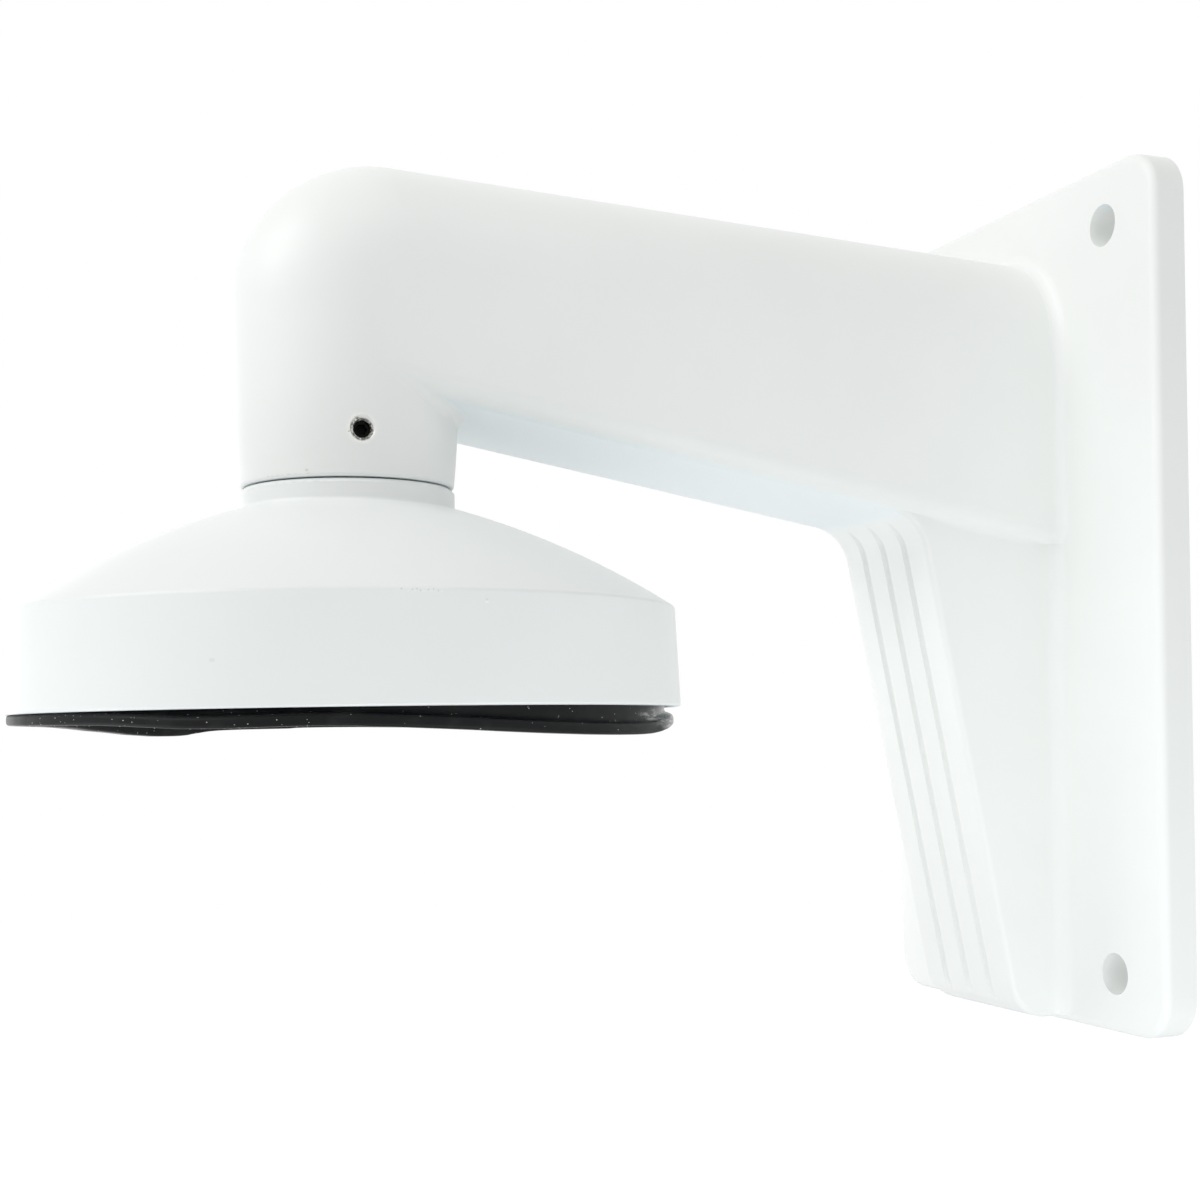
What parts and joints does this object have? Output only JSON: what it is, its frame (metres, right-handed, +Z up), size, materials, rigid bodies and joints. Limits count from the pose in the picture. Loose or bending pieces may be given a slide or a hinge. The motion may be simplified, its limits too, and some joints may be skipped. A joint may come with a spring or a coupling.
{
  "type": "camera wall bracket",
  "caption": "Wall bracket for a dome camera: a hollow cast arm on a gusseted wall plate turns down into a collar that holds a round mounting cap with a rubber gasket.",
  "frame": {"origin": "centre of the wall bolt pattern, in the plane of the plate's back", "axes": "+Y points out of the plate's back into the wall, so the arm reaches along -Y; +Z is up; X is across"},
  "size_m": [0.13, 0.2257, 0.182],
  "materials": {
    "bracket_paint": "satin white powder coat on cast aluminium",
    "cap_paint": "satin white powder coat on cast aluminium",
    "gasket_rubber": "matt black with a little dust",
    "screw_steel": "black oxide"
  },
  "bodies": {
    "root": {"wall_bracket": "bracket_paint", "camera_cap": "cap_paint", "rim_gasket": "gasket_rubber", "set_screw": "screw_steel"}
  },
  "joints": []
}
